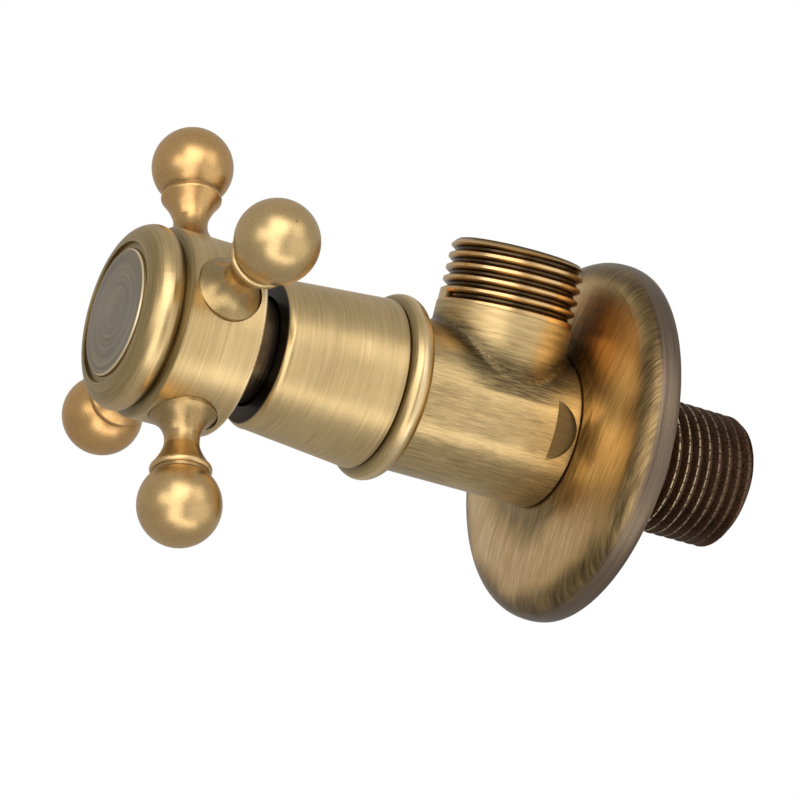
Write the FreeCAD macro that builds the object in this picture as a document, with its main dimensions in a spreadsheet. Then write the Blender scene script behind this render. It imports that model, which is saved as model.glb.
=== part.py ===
import FreeCAD, Part
import math
import os
import re

import Sketcher
from FreeCAD import Placement, Rotation, Vector

# Antique brass angle stop valve, quarter turn, G1/2 inlet and outlet. All sizes are millimetres.
# Turned parts are drawn with their own Z along the valve axis, measured from the wall towards the handle,
# and are then laid over so that this direction is -Y of the assembly. The outlet points up, along +Z.

SIZES = {
    # G1/2 pipe thread, shared by the inlet nipple and the outlet boss
    "thread_radius": 10.4775,
    "thread_pitch": 1.814,
    "thread_depth": 1.0,
    "thread_taper": 0.04,
    "thread_crest_half": 0.075,
    "thread_crest_break": 0.13,
    "thread_root_half": 0.16,
    "thread_overcut": 0.25,
    # valve body: stations along the axis and radii
    "inlet_length": 25.4,
    "inlet_tip_radius": 9.7,
    "inlet_tip_chamfer": 0.8,
    "inlet_first_groove": 3.387,
    "inlet_thread_turns": 13,
    "inlet_land_end": 2.45,
    "inlet_land_start": 0.5,
    "nipple_relief_radius": 10.3,
    "inlet_bore_radius": 7.0,
    "seat_hole_radius": 5.2,
    "seat_hole_start": 7.0,
    "seat_station": 9.5,
    "shoulder_station": 6.84,
    "body_radius": 11.7,
    "body_front": 33.2,
    "shoulder_overrun": 2.2,
    "shoulder_chamfer": 0.25,
    "spigot_radius": 10.95,
    "spigot_front": 42.0,
    "cavity_radius": 9.2,
    # outlet boss
    "outlet_station": 17.85,
    "outlet_height": 25.2,
    "outlet_tip_radius": 9.6,
    "outlet_tip_chamfer": 0.9,
    "outlet_land_low": 13.9,
    "outlet_land_high": 15.3,
    "outlet_crest_drop": 0.12,
    "outlet_root_radius": 10.36,
    "outlet_blend": 2.0,
    "outlet_bore_radius": 7.25,
    "outlet_first_groove": 16.3,
    "outlet_thread_turns": 6,
    # wrench flats on both sides of the body
    "flat_half_width": 10.74,
    "flat_edge_station": 10.95,
    "flat_half_height": 4.6,
    "flat_round_drop": 3.7,
    # wall flange (escutcheon)
    "flange_back_radius": 28.0,
    "flange_radius": 28.1,
    "flange_rim_station": 1.5,
    "flange_rim_bend": 3.9,
    "flange_crown_radius": 25.2,
    "flange_crown_station": 5.25,
    "flange_dome_bend": 45.0,
    "flange_knee_radius": 14.0,
    "flange_knee_station": 6.5,
    "flange_knee_bend": 15.0,
    "flange_neck_radius": 12.2,
    "flange_wall": 1.3,
    "flange_hole_radius": 10.7,
    # bonnet sleeve with its bead
    "sleeve_bore_radius": 11.0,
    "sleeve_inner_radius": 10.2,
    "sleeve_step_station": 43.0,
    "sleeve_lip_station": 53.6,
    "sleeve_mouth_radius": 8.35,
    "sleeve_rear_radius": 13.09,
    "bead_radius": 2.0,
    "crevice_radius": 12.75,
    "crevice_station": 36.95,
    "sleeve_cone_radius": 13.02,
    "sleeve_cone_station": 37.25,
    "sleeve_nose_station": 54.4,
    "sleeve_nose_radius": 11.42,
    "sleeve_nose_bend": 1.75,
    "sleeve_face_radius": 10.75,
    "sleeve_front": 56.1,
    # ceramic cartridge
    "gasket_inner_radius": 5.4,
    "gasket_outer_radius": 7.9,
    "gasket_top": 11.6,
    "disc_radius": 6.8,
    "fixed_disc_top": 14.1,
    "disc_gap": 0.02,
    "rotating_disc_top": 17.0,
    "port_inner_radius": 2.0,
    "port_outer_radius": 5.6,
    "port_angle": 75,
    "tang_length": 10.0,
    "tang_width": 2.6,
    "tang_depth": 1.1,
    "slot_clearance": 0.05,
    "skirt_inner_radius": 6.9,
    "skirt_outer_radius": 8.2,
    "window_low": 17.6,
    "window_high": 24.0,
    "window_width": 8.0,
    "stop_low": 24.5,
    "stop_ring_radius": 5.3,
    "stop_top": 27.0,
    "stop_pocket_angle": 152,
    "stop_lug_angle": 60,
    "stop_lug_radius": 6.6,
    "foot_low": 25.0,
    "foot_radius": 5.0,
    "thrust_station": 28.0,
    "washer_outer_radius": 5.2,
    "washer_inner_radius": 4.5,
    "plug_radius": 9.15,
    "housing_ring_low": 29.5,
    "housing_ring_high": 31.7,
    "housing_ring_floor": 7.45,
    "hex_across_flats": 17.0,
    "hex_height": 4.0,
    "neck_radius": 5.0,
    "neck_front": 52.4,
    "neck_chamfer": 0.3,
    "stem_bore_radius": 4.45,
    "stem_radius": 4.4,
    "stem_ring_floor": 3.1,
    "stem_ring_width": 2.0,
    "stem_ring_low": 36.0,
    "stem_ring_spacing": 5.0,
    "stem_step_station": 54.9,
    "drive_radius": 3.7,
    "drive_start": 62.5,
    "drive_across_flats": 5.6,
    "drive_clearance": 0.05,
    "stem_end": 70.0,
    "stem_shank_radius": 3.2,
    "tang_root": 18.5,
    "clip_low": 52.6,
    "clip_thickness": 0.8,
    "clip_floor": 3.9,
    "clip_outer_radius": 5.0,
    "clip_gap_width": 5.0,
    "tap_radius": 2.0,
    "tap_depth": 9.5,
    # handle hub
    "hub_rear": 61.16,
    "hub_radius": 14.2,
    "hub_edge": 0.35,
    "hub_barrel_front": 72.9,
    "groove_radius": 12.95,
    "groove_station": 73.75,
    "rim_radius": 13.82,
    "rim_station": 75.7,
    "rim_foot_bend": 2.2,
    "rim_nose_bend": 3.35,
    "hub_front": 78.64,
    "hub_lip_radius": 10.52,
    "hub_lip_foot_radius": 10.42,
    "hub_lip_step": 0.45,
    "recess_radius": 9.55,
    "recess_floor": 74.5,
    "screw_bore_radius": 4.2,
    "screw_seat": 71.0,
    "screw_hole_radius": 2.1,
    "hub_relief_outer": 12.2,
    "hub_relief_inner": 6.4,
    "hub_relief_depth": 2.4,
    "shroud_rear": 54.0,
    "shroud_radius": 7.9,
    "shroud_clearance": 0.05,
    "stem_socket_radius": 3.75,
    "handle_turn": 28.76,
    # handle arms, distances measured outwards from the valve axis
    "arm_station": 67.2,
    "arm_count": 4,
    "arm_socket_radius": 5.0,
    "arm_socket_floor": 12.6,
    "arm_stud_hole_radius": 2.0,
    "arm_stud_radius": 1.95,
    "arm_stud_floor": 8.0,
    "arm_base_radius": 4.95,
    "arm_base_top": 13.95,
    "arm_cove_bend": 6.0,
    "arm_waist_low": 17.2,
    "arm_waist_high": 19.1,
    "arm_waist_radius": 2.62,
    "arm_waist_bend": 6.0,
    "arm_flare_bend": 10.0,
    "collar_low": 22.35,
    "collar_foot_radius": 4.33,
    "collar_high": 23.35,
    "collar_bead_bend": 0.6,
    "collar_nick_radius": 4.1,
    "ball_centre": 28.34,
    "ball_radius": 6.11,
    # index button
    "button_radius": 9.45,
    "button_front": 78.76,
    "button_rear": 74.7,
    "button_edge": 0.2,
    "button_hollow_radius": 7.0,
    "button_hollow_depth": 1.6,
    "button_ring_low": 75.7,
    "button_ring_high": 76.8,
    "button_ring_floor": 8.6,
    "button_ring_radius": 0.44,
    # handle screw and washer
    "spring_washer_thickness": 1.0,
    "spring_washer_inner": 2.15,
    "spring_washer_outer": 3.9,
    "spring_washer_split": 0.8,
    "screw_head_radius": 3.5,
    "screw_head_height": 2.2,
    "screw_shank_radius": 1.95,
    "screw_tip": 61.5,
    "screw_key_across_flats": 2.5,
    "screw_key_depth": 1.4,
    # O-ring sections
    "housing_ring_section": 0.86,
    "stem_ring_section": 0.66,
}

doc = FreeCAD.newDocument("angle_stop_valve")
sheet = doc.addObject("Spreadsheet::Sheet", "Sizes")
for row, (alias, number) in enumerate(SIZES.items(), start=1):
    sheet.set(f"A{row}", alias)
    sheet.set(f"B{row}", str(number))
    sheet.setAlias(f"B{row}", alias)
doc.recompute()


def bind(text):
    """The expression with every size name pointed at the sheet; function names are left alone."""
    return re.sub(r"\b([a-z]\w*)\b(?!\()", r"Sizes.\1", text)


def value(text):
    """The expression's present value."""
    return float(sheet.evalExpression(bind(text)))


def new_body(name):
    body = doc.addObject("PartDesign::Body", name)
    body.Label = name
    return body


def origin_item(body, role):
    """One of the body's own origin planes or axes."""
    return next(item for item in body.Origin.OriginFeatures if item.Role == role)


def new_sketch(body, name, plane="XZ_Plane", lift=None, turn=0.0):
    """A sketch on an origin plane: lifted along its normal, or turned about its own vertical axis."""
    sketch = body.newObject("Sketcher::SketchObject", name)
    sketch.AttachmentSupport = [(origin_item(body, plane), "")]
    sketch.MapMode = "FlatFace"
    sketch.AttachmentOffset = Placement(Vector(0, 0, 0), Rotation(Vector(0, 1, 0), turn))
    if lift:
        sketch.setExpression("AttachmentOffset.Base.z", bind(lift))
    return sketch


def dimension(sketch, kind, number, *where):
    """A driving dimension bound to an expression."""
    index = sketch.addConstraint(Sketcher.Constraint(kind, *where, value(number)))
    sketch.setExpression(f"Constraints[{index}]", bind(number))


def pin_point(sketch, geometry, end, x, y):
    """Hold one end of a sketch edge at two coordinates; "0" puts it on the axis itself."""
    if x == "0":
        sketch.addConstraint(Sketcher.Constraint("PointOnObject", geometry, end, -2))
    else:
        dimension(sketch, "DistanceX", x, -1, 1, geometry, end)
    if y == "0":
        sketch.addConstraint(Sketcher.Constraint("PointOnObject", geometry, end, -1))
    else:
        dimension(sketch, "DistanceY", y, -1, 1, geometry, end)


def bent_edge(start, finish, radius):
    """An arc between two points, bulging to the right of the travel for a positive radius."""
    chord = finish - start
    reach = math.sqrt(radius * radius - chord.Length ** 2 / 4)
    left = Vector(-chord.y, chord.x, 0).normalize()
    centre = (start + finish) / 2 + left * math.copysign(reach, radius)
    angles = [math.atan2(p.y - centre.y, p.x - centre.x) for p in (start, finish)]
    if radius < 0:
        angles.reverse()
    if angles[1] < angles[0]:
        angles[1] += 2 * math.pi
    circle = Part.Circle(centre, Vector(0, 0, 1), abs(radius))
    return Part.ArcOfCircle(circle, angles[0], angles[1])


def outline(sketch, corners):
    """A closed chain through corners (x, y) or (x, y, radius), counter-clockwise for an outer edge.

    A radius bends the edge that leaves its corner: positive bulges outwards, negative inwards.
    """
    points = [Vector(value(c[0]), value(c[1]), 0) for c in corners]
    first = sketch.GeometryCount
    ends = []
    for i, corner in enumerate(corners):
        start, finish = points[i], points[(i + 1) % len(points)]
        if len(corner) == 3:
            radius = value(corner[2])
            sketch.addGeometry(bent_edge(start, finish, radius), False)
            ends.append((1, 2) if radius > 0 else (2, 1))
        else:
            sketch.addGeometry(Part.LineSegment(start, finish), False)
            ends.append((1, 2))
    for i, corner in enumerate(corners):
        following = (i + 1) % len(corners)
        sketch.addConstraint(
            Sketcher.Constraint("Coincident", first + i, ends[i][1], first + following, ends[following][0]))
        pin_point(sketch, first + i, ends[i][0], corner[0], corner[1])
        if len(corner) == 3:
            dimension(sketch, "Radius", corner[2].lstrip("-"), first + i)
    return sketch


def box_outline(sketch, x0, y0, x1, y1):
    return outline(sketch, [(x0, y0), (x1, y0), (x1, y1), (x0, y1)])


def circle(sketch, x, y, radius):
    """A full circle held by its centre and radius."""
    centre = Vector(value(x), value(y), 0)
    index = sketch.addGeometry(Part.Circle(centre, Vector(0, 0, 1), value(radius)), False)
    pin_point(sketch, index, 3, x, y)
    dimension(sketch, "Radius", radius, index)


def feature(body, kind, name, sketch, **settings):
    """A sketch-based PartDesign feature that becomes the body's tip."""
    item = body.newObject("PartDesign::" + kind, name)
    item.Profile = sketch
    for key, setting in settings.items():
        if isinstance(setting, str) and key in ("Length", "Angle", "Pitch", "Height"):
            item.setExpression(key, bind(setting))
        else:
            setattr(item, key, setting)
    sketch.Visibility = False
    body.Tip = item
    return item


def turned(body, name, corners, plane="XZ_Plane"):
    """Solid of revolution of a closed outline about the body's own Z."""
    sketch = outline(new_sketch(body, name + "_profile", plane), corners)
    return feature(body, "Revolution", name, sketch, ReferenceAxis=(sketch, ["V_Axis"]), Angle=360.0)


def turned_cut(body, name, corners):
    """Cut left by turning a closed outline about the body's own Z."""
    sketch = outline(new_sketch(body, name + "_profile"), corners)
    return feature(body, "Groove", name, sketch, ReferenceAxis=(sketch, ["V_Axis"]), Angle=360.0)


def sector(body, kind, name, corners, angle, turn=0.0):
    """A part turn of a closed outline, spread evenly about a direction turned away from X."""
    sketch = outline(new_sketch(body, name + "_profile", turn=turn), corners)
    return feature(
        body, kind, name, sketch, ReferenceAxis=(sketch, ["V_Axis"]), Midplane=True, Angle=angle)


def around(body, name, original, count):
    """Repeat a feature evenly about the body's own Z."""
    pattern = body.newObject("PartDesign::PolarPattern", name)
    pattern.Originals = [original]
    pattern.Axis = (origin_item(body, "Z_Axis"), [""])
    pattern.Angle = 360.0
    pattern.Occurrences = count
    body.Tip = pattern
    return pattern


def rounded(body, name, base, edges, radius, kind="Fillet"):
    """Fillet or chamfer on the edges of a feature that satisfy a test."""
    doc.recompute()
    names = [f"Edge{i}" for i, edge in enumerate(base.Shape.Edges, start=1) if edges(edge)]
    item = body.newObject("PartDesign::" + kind, name)
    item.Base = (base, names)
    item.setExpression("Radius" if kind == "Fillet" else "Size", bind(radius))
    body.Tip = item
    return item


def along_valve(part, turn="0"):
    """Lay a part whose Z is the valve axis into the assembly, turned about that axis."""
    laid = Rotation(Vector(1, 0, 0), 90)
    part.Placement = Placement(Vector(0, 0, 0), laid.multiply(Rotation(Vector(0, 0, 1), value(turn))))
    return part


def thread_groove(middle):
    """(radius, station) corners of one thread groove with straight flanks and broken crest corners."""
    crest_half = "(thread_pitch / 2 - thread_crest_half)"
    steps = [
        ("thread_radius + thread_overcut", crest_half),
        ("thread_radius", crest_half),
        ("thread_radius - thread_crest_break", f"({crest_half} - thread_crest_break)"),
        ("thread_radius - thread_depth", "thread_root_half"),
    ]
    near = [(radius, f"{middle} - {half}") for radius, half in steps]
    far = [(radius, f"{middle} + {half}") for radius, half in reversed(steps)]
    return near + far


def polygon(sketch, sides, across_flats, first_corner):
    """A regular polygon about the sketch origin, its first corner at an angle in degrees."""
    reach = f"{across_flats} / (2 * cos({180 / sides}))"
    angles = [f"({first_corner} + {360 / sides * k})" for k in range(sides)]
    return outline(sketch, [(f"{reach} * cos({angle})", f"{reach} * sin({angle})") for angle in angles])


def valve_body():
    """Body casting: threaded inlet nipple, barrel, threaded outlet boss, wrench flats and water passages."""
    body = new_body("valve_body")
    turned(body, "barrel", [
        ("0", "-inlet_length"),
        ("inlet_tip_radius", "-inlet_length"),
        ("thread_radius - thread_taper", "inlet_tip_chamfer - inlet_length"),
        ("thread_radius", "-inlet_land_end"),
        ("thread_radius", "inlet_land_start"),
        ("nipple_relief_radius", "inlet_land_start"),
        ("nipple_relief_radius", "shoulder_station - shoulder_overrun"),
        ("body_radius", "shoulder_station - shoulder_overrun"),
        ("body_radius", "body_front"),
        ("spigot_radius", "body_front"),
        ("spigot_radius", "spigot_front"),
        ("0", "spigot_front"),
    ])
    boss = outlet_boss(body)
    blend = rounded(body, "outlet_root_blend", boss, boss_root_edge, "outlet_blend")
    turned_cut(body, "wall_shoulder", [
        ("nipple_relief_radius", "shoulder_station - shoulder_overrun - 0.5"),
        ("body_radius * 1.3", "shoulder_station - shoulder_overrun - 0.5"),
        ("body_radius * 1.3", "shoulder_station + shoulder_chamfer"),
        ("body_radius", "shoulder_station + shoulder_chamfer"),
        ("body_radius - shoulder_chamfer", "shoulder_station"),
        ("nipple_relief_radius", "shoulder_station"),
    ])
    turned_cut(body, "water_passage", [
        ("0", "-inlet_length - 1"),
        ("inlet_bore_radius", "-inlet_length - 1"),
        ("inlet_bore_radius", "seat_hole_start"),
        ("seat_hole_radius", "seat_hole_start"),
        ("seat_hole_radius", "seat_station"),
        ("cavity_radius", "seat_station"),
        ("cavity_radius", "spigot_front + 1"),
        ("0", "spigot_front + 1"),
    ])
    bore = new_sketch(body, "outlet_bore_circle")
    circle(bore, "0", "outlet_station", "outlet_bore_radius")
    feature(body, "Pocket", "outlet_bore", bore, Type="ThroughAll")
    wrench_flats(body)
    inlet_thread(body)
    outlet_thread(body)
    return along_valve(body)


def boss_root_edge(edge):
    """True for the edge where the outlet boss runs into the barrel."""
    point = edge.valueAt((edge.FirstParameter + edge.LastParameter) / 2)
    barrel = math.hypot(point.x, point.y)
    boss = math.hypot(point.x, point.z - value("outlet_station"))
    return abs(barrel - value("body_radius")) < 0.02 and abs(boss - value("outlet_root_radius")) < 0.15


def outlet_axis(sketch):
    """Construction line along the outlet, used as a turning axis."""
    level = value("outlet_station")
    index = sketch.addGeometry(Part.LineSegment(Vector(0, level, 0), Vector(5, level, 0)), True)
    pin_point(sketch, index, 1, "0", "outlet_station")
    pin_point(sketch, index, 2, "5", "outlet_station")
    return (sketch, ["Axis0"])


def outlet_boss(body):
    """Boss turned about the outlet axis: faint draft, plain land, thread blank and tip chamfer."""
    steps = [
        ("0", "outlet_root_radius"),
        ("outlet_land_low", "thread_radius"),
        ("outlet_land_high", "thread_radius"),
        ("outlet_land_high + outlet_crest_drop", "thread_radius - outlet_crest_drop"),
        ("outlet_height - outlet_tip_chamfer", "thread_radius - outlet_crest_drop - thread_taper"),
        ("outlet_height", "outlet_tip_radius"),
    ]
    side = [(height, f"outlet_station + {radius}") for height, radius in steps]
    sketch = new_sketch(body, "outlet_boss_profile", "YZ_Plane")
    outline(sketch, [("0", "outlet_station")] + side + [("outlet_height", "outlet_station")])
    return feature(
        body, "Revolution", "outlet_boss", sketch, ReferenceAxis=outlet_axis(sketch), Angle=360.0)


def wrench_flats(body):
    """A D-shaped flat on each side: square end towards the handle, round end towards the wall."""
    sketch = new_sketch(body, "wrench_flat_profile", "YZ_Plane", lift="flat_half_width")
    bend = "(flat_half_height ^ 2 + flat_round_drop ^ 2) / (2 * flat_round_drop)"
    outline(sketch, [
        ("-flat_half_height", "flat_edge_station", bend),
        ("0", "flat_edge_station - flat_round_drop", bend),
        ("flat_half_height", "flat_edge_station"),
    ])
    flat = feature(body, "Pocket", "wrench_flat", sketch, Type="ThroughAll", Reversed=True)
    other = body.newObject("PartDesign::Mirrored", "other_wrench_flat")
    other.Originals = [flat]
    other.MirrorPlane = (origin_item(body, "YZ_Plane"), [""])
    body.Tip = other


def inlet_thread(body):
    """Right-hand thread cut from the open end of the nipple up to the plain land at the wall."""
    sketch = new_sketch(body, "inlet_groove_profile")
    outline(sketch, thread_groove("-(inlet_first_groove + thread_pitch * inlet_thread_turns)"))
    cut = feature(
        body, "SubtractiveHelix", "inlet_thread", sketch, ReferenceAxis=(sketch, ["V_Axis"]),
        Mode="pitch-turns-angle", Pitch="thread_pitch")
    cut.setExpression("Turns", bind("inlet_thread_turns"))


def outlet_thread(body):
    """Right-hand thread cut from the plain land of the boss out through its end."""
    sketch = new_sketch(body, "outlet_groove_profile", "YZ_Plane")
    corners = thread_groove("outlet_first_groove")
    outline(sketch, [(height, f"outlet_station + {radius}") for radius, height in corners])
    cut = feature(
        body, "SubtractiveHelix", "outlet_thread", sketch, ReferenceAxis=outlet_axis(sketch),
        Mode="pitch-turns-angle", Pitch="thread_pitch")
    cut.setExpression("Turns", bind("outlet_thread_turns"))


def escutcheon():
    """Spun wall flange: a hollow dome with a rounded rim, loose on the nipple behind the body shoulder."""
    body = new_body("escutcheon")
    turned(body, "dome", [
        ("flange_back_radius - flange_wall", "0"),
        ("flange_back_radius", "0", "flange_rim_bend"),
        ("flange_radius", "flange_rim_station", "flange_rim_bend"),
        ("flange_crown_radius", "flange_crown_station", "flange_dome_bend"),
        ("flange_knee_radius", "flange_knee_station", "-flange_knee_bend"),
        ("flange_neck_radius", "shoulder_station"),
        ("flange_hole_radius", "shoulder_station"),
        ("flange_hole_radius", "shoulder_station - flange_wall"),
        ("flange_neck_radius", "shoulder_station - flange_wall", "-(flange_dome_bend - flange_wall)"),
        ("flange_crown_radius - flange_wall / 4", "flange_crown_station - flange_wall",
         "-(flange_rim_bend - flange_wall)"),
        ("flange_radius - flange_wall", "flange_rim_station"),
    ])
    return along_valve(body)


def bonnet_sleeve():
    """Tapered sleeve over the cartridge, with a bead against the body and a lipped open mouth."""
    body = new_body("bonnet_sleeve")
    turned(body, "sleeve", [
        ("sleeve_bore_radius", "body_front"),
        ("sleeve_rear_radius", "body_front", "bead_radius"),
        ("crevice_radius", "crevice_station"),
        ("sleeve_cone_radius", "sleeve_cone_station"),
        ("sleeve_nose_radius", "sleeve_nose_station", "sleeve_nose_bend"),
        ("sleeve_face_radius", "sleeve_front"),
        ("sleeve_mouth_radius", "sleeve_front"),
        ("sleeve_mouth_radius", "sleeve_lip_station"),
        ("sleeve_inner_radius", "sleeve_lip_station"),
        ("sleeve_inner_radius", "sleeve_step_station"),
        ("sleeve_bore_radius", "sleeve_step_station"),
    ])
    return along_valve(body)


def cartridge_housing():
    """Brass cartridge: disc skirt with water windows, stop pocket, sealed plug, hexagon and stem neck."""
    body = new_body("cartridge_housing")
    turned(body, "shell", [
        ("skirt_inner_radius", "gasket_top"),
        ("skirt_outer_radius", "gasket_top"),
        ("skirt_outer_radius", "thrust_station"),
        ("plug_radius", "thrust_station"),
        ("plug_radius", "housing_ring_low"),
        ("housing_ring_floor", "housing_ring_low"),
        ("housing_ring_floor", "housing_ring_high"),
        ("plug_radius", "housing_ring_high"),
        ("plug_radius", "spigot_front"),
        ("neck_radius", "spigot_front"),
        ("neck_radius", "neck_front - neck_chamfer"),
        ("neck_radius - neck_chamfer", "neck_front"),
        ("stem_bore_radius", "neck_front"),
        ("stem_bore_radius", "thrust_station"),
        ("stop_ring_radius", "thrust_station"),
        ("stop_ring_radius", "stop_low"),
        ("skirt_inner_radius", "stop_low"),
    ])
    sketch = new_sketch(body, "hexagon_profile", "XY_Plane", lift="spigot_front")
    polygon(sketch, 6, "hex_across_flats", "30")
    circle(sketch, "0", "0", "stem_bore_radius")
    feature(body, "Pad", "hexagon", sketch, Length="hex_height")
    sketch = new_sketch(body, "window_profile")
    box_outline(sketch, "-window_width / 2", "window_low", "window_width / 2", "window_high")
    feature(body, "Pocket", "windows", sketch, Length="skirt_outer_radius * 3", Midplane=True)
    sector(body, "Groove", "stop_pocket", [
        ("stem_bore_radius", "stop_low"),
        ("skirt_inner_radius", "stop_low"),
        ("skirt_inner_radius", "stop_top"),
        ("stem_bore_radius", "stop_top"),
    ], "stop_pocket_angle")
    return along_valve(body)


def washer(name, inner, outer, low, high):
    """Flat turned ring."""
    body = new_body(name)
    turned(body, "ring", [(inner, low), (outer, low), (outer, high), (inner, high)])
    return body


def o_ring(name, radius, station, section):
    """Rubber ring of round section."""
    body = new_body(name)
    sketch = new_sketch(body, "section")
    circle(sketch, radius, station, section)
    feature(body, "Revolution", "ring", sketch, ReferenceAxis=(sketch, ["V_Axis"]), Angle=360.0)
    return along_valve(body)


def split(body, name, outer, width, turn=0.0):
    """Open a ring with a radial slot."""
    sketch = new_sketch(body, name + "_profile", "XY_Plane")
    sketch.AttachmentOffset = Placement(Vector(0, 0, 0), Rotation(Vector(0, 0, 1), turn))
    box_outline(sketch, "0.5", f"-{width} / 2", f"{outer} * 1.2", f"{width} / 2")
    feature(body, "Pocket", name, sketch, Type="ThroughAll", Reversed=True)


def ceramic_disc(name, low, high, turn):
    """Lapped disc with two opposite water ports, centred about a direction turned away from X."""
    body = new_body(name)
    turned(body, "disc", [("0", low), ("disc_radius", low), ("disc_radius", high), ("0", high)])
    port = sector(body, "Groove", "port", [
        ("port_inner_radius", f"{low} - 0.5"),
        ("port_outer_radius", f"{low} - 0.5"),
        ("port_outer_radius", f"{high} + 0.5"),
        ("port_inner_radius", f"{high} + 0.5"),
    ], "port_angle", turn)
    around(body, "ports", port, 2)
    return body


def rotating_disc():
    """Upper disc: its ports stand across the fixed disc's ports when closed, and a slot takes the tang."""
    body = ceramic_disc("rotating_disc", "fixed_disc_top + disc_gap", "rotating_disc_top", 90)
    sketch = new_sketch(body, "slot_profile", "XY_Plane", lift="rotating_disc_top")
    length = "(tang_length / 2 + slot_clearance)"
    width = "(tang_width / 2 + slot_clearance)"
    box_outline(sketch, f"-{length}", f"-{width}", length, width)
    feature(body, "Pocket", "tang_slot", sketch, Length="tang_depth + slot_clearance")
    return along_valve(body)


def spindle():
    """Stem: tang for the disc, foot with a stop lug, two ring grooves, clip groove and square drive end."""
    body = new_body("spindle")
    profile = [
        ("0", "tang_root"),
        ("stem_shank_radius", "tang_root"),
        ("stem_shank_radius", "foot_low"),
        ("foot_radius", "foot_low"),
        ("foot_radius", "stop_top"),
        ("stem_radius", "stop_top"),
    ]
    for low in ("stem_ring_low", "stem_ring_low + stem_ring_spacing"):
        high = f"{low} + stem_ring_width"
        profile += [("stem_radius", low), ("stem_ring_floor", low)]
        profile += [("stem_ring_floor", high), ("stem_radius", high)]
    clip_high = "clip_low + clip_thickness"
    profile += [
        ("stem_radius", "clip_low"),
        ("clip_floor", "clip_low"),
        ("clip_floor", clip_high),
        ("stem_radius", clip_high),
        ("stem_radius", "stem_step_station"),
        ("drive_radius", "stem_step_station + 0.4"),
        ("drive_radius", "stem_end - 0.5"),
        ("drive_radius - 0.5", "stem_end"),
        ("0", "stem_end"),
    ]
    turned(body, "stem", profile)
    sector(body, "Revolution", "stop_lug", [
        ("stem_shank_radius", "foot_low"),
        ("stop_lug_radius", "foot_low"),
        ("stop_lug_radius", "stop_top - 0.2"),
        ("stem_shank_radius", "stop_top - 0.2"),
    ], "stop_lug_angle", -45)
    sketch = new_sketch(body, "tang_profile", "XY_Plane", lift="rotating_disc_top - tang_depth")
    box_outline(sketch, "-tang_length / 2", "-tang_width / 2", "tang_length / 2", "tang_width / 2")
    feature(body, "Pad", "tang", sketch, Length="tang_root - rotating_disc_top + tang_depth + 0.5")
    sketch = new_sketch(body, "square_profile", "XY_Plane", lift="stem_end")
    half = "drive_across_flats / 2"
    box_outline(sketch, f"-{half}", f"-{half}", half, half)
    circle(sketch, "0", "0", "drive_radius * 1.5")
    feature(body, "Pocket", "square", sketch, Length="stem_end - drive_start")
    turned_cut(body, "tapped_hole", [
        ("0", "stem_end - tap_depth"),
        ("tap_radius", "stem_end - tap_depth + 1"),
        ("tap_radius", "stem_end + 1"),
        ("0", "stem_end + 1"),
    ])
    return along_valve(body)


def spindle_clip():
    """Open retaining clip in the stem groove, in front of the neck."""
    body = washer(
        "spindle_clip", "clip_floor + 0.05", "clip_outer_radius", "clip_low + 0.05",
        "clip_low + clip_thickness - 0.05")
    split(body, "opening", "clip_outer_radius", "clip_gap_width", 60)
    return along_valve(body)


def handle_hub():
    """Hub: barrel with four arm sockets, rolled rim, button recess, screw seat and square socket."""
    body = new_body("handle_hub")
    turned(body, "hub", [
        ("stem_socket_radius", "hub_rear"),
        ("hub_relief_inner", "hub_rear"),
        ("hub_relief_inner", "hub_rear + hub_relief_depth"),
        ("hub_relief_outer", "hub_rear + hub_relief_depth"),
        ("hub_relief_outer", "hub_rear"),
        ("hub_radius - hub_edge", "hub_rear", "hub_edge"),
        ("hub_radius", "hub_rear + hub_edge"),
        ("hub_radius", "hub_barrel_front"),
        ("groove_radius", "groove_station", "rim_foot_bend"),
        ("rim_radius", "rim_station", "rim_nose_bend"),
        ("hub_lip_radius", "hub_front"),
        ("hub_lip_foot_radius", "hub_front - hub_lip_step"),
        ("recess_radius", "hub_front - hub_lip_step"),
        ("recess_radius", "recess_floor"),
        ("screw_bore_radius", "recess_floor"),
        ("screw_bore_radius", "screw_seat"),
        ("screw_hole_radius", "screw_seat"),
        ("screw_hole_radius", "drive_start"),
        ("stem_socket_radius", "drive_start"),
    ])
    sketch = new_sketch(body, "square_socket_profile", "XY_Plane", lift="drive_start")
    polygon(sketch, 4, "(drive_across_flats + 2 * drive_clearance)", "45 - handle_turn")
    depth = "stem_end - drive_start + drive_clearance"
    feature(body, "Pocket", "square_socket", sketch, Length=depth, Reversed=True)
    for name, radius, floor in (
        ("arm_socket", "arm_socket_radius", "arm_socket_floor"),
        ("stud_hole", "arm_stud_hole_radius", "arm_stud_floor - 1"),
    ):
        sketch = new_sketch(body, name + "_circle", "YZ_Plane", lift=floor)
        circle(sketch, "0", "arm_station", radius)
        hole = feature(body, "Pocket", name, sketch, Type="ThroughAll", Reversed=True)
        around(body, name + "s", hole, SIZES["arm_count"])
    return along_valve(body, "handle_turn")


def stem_shroud():
    """Dark tube plugged into the back of the hub, hiding the stem and its clip inside the sleeve mouth."""
    body = washer(
        "stem_shroud", "hub_relief_inner + shroud_clearance", "shroud_radius", "shroud_rear",
        "hub_rear + hub_relief_depth - shroud_clearance")
    return along_valve(body)


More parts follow.
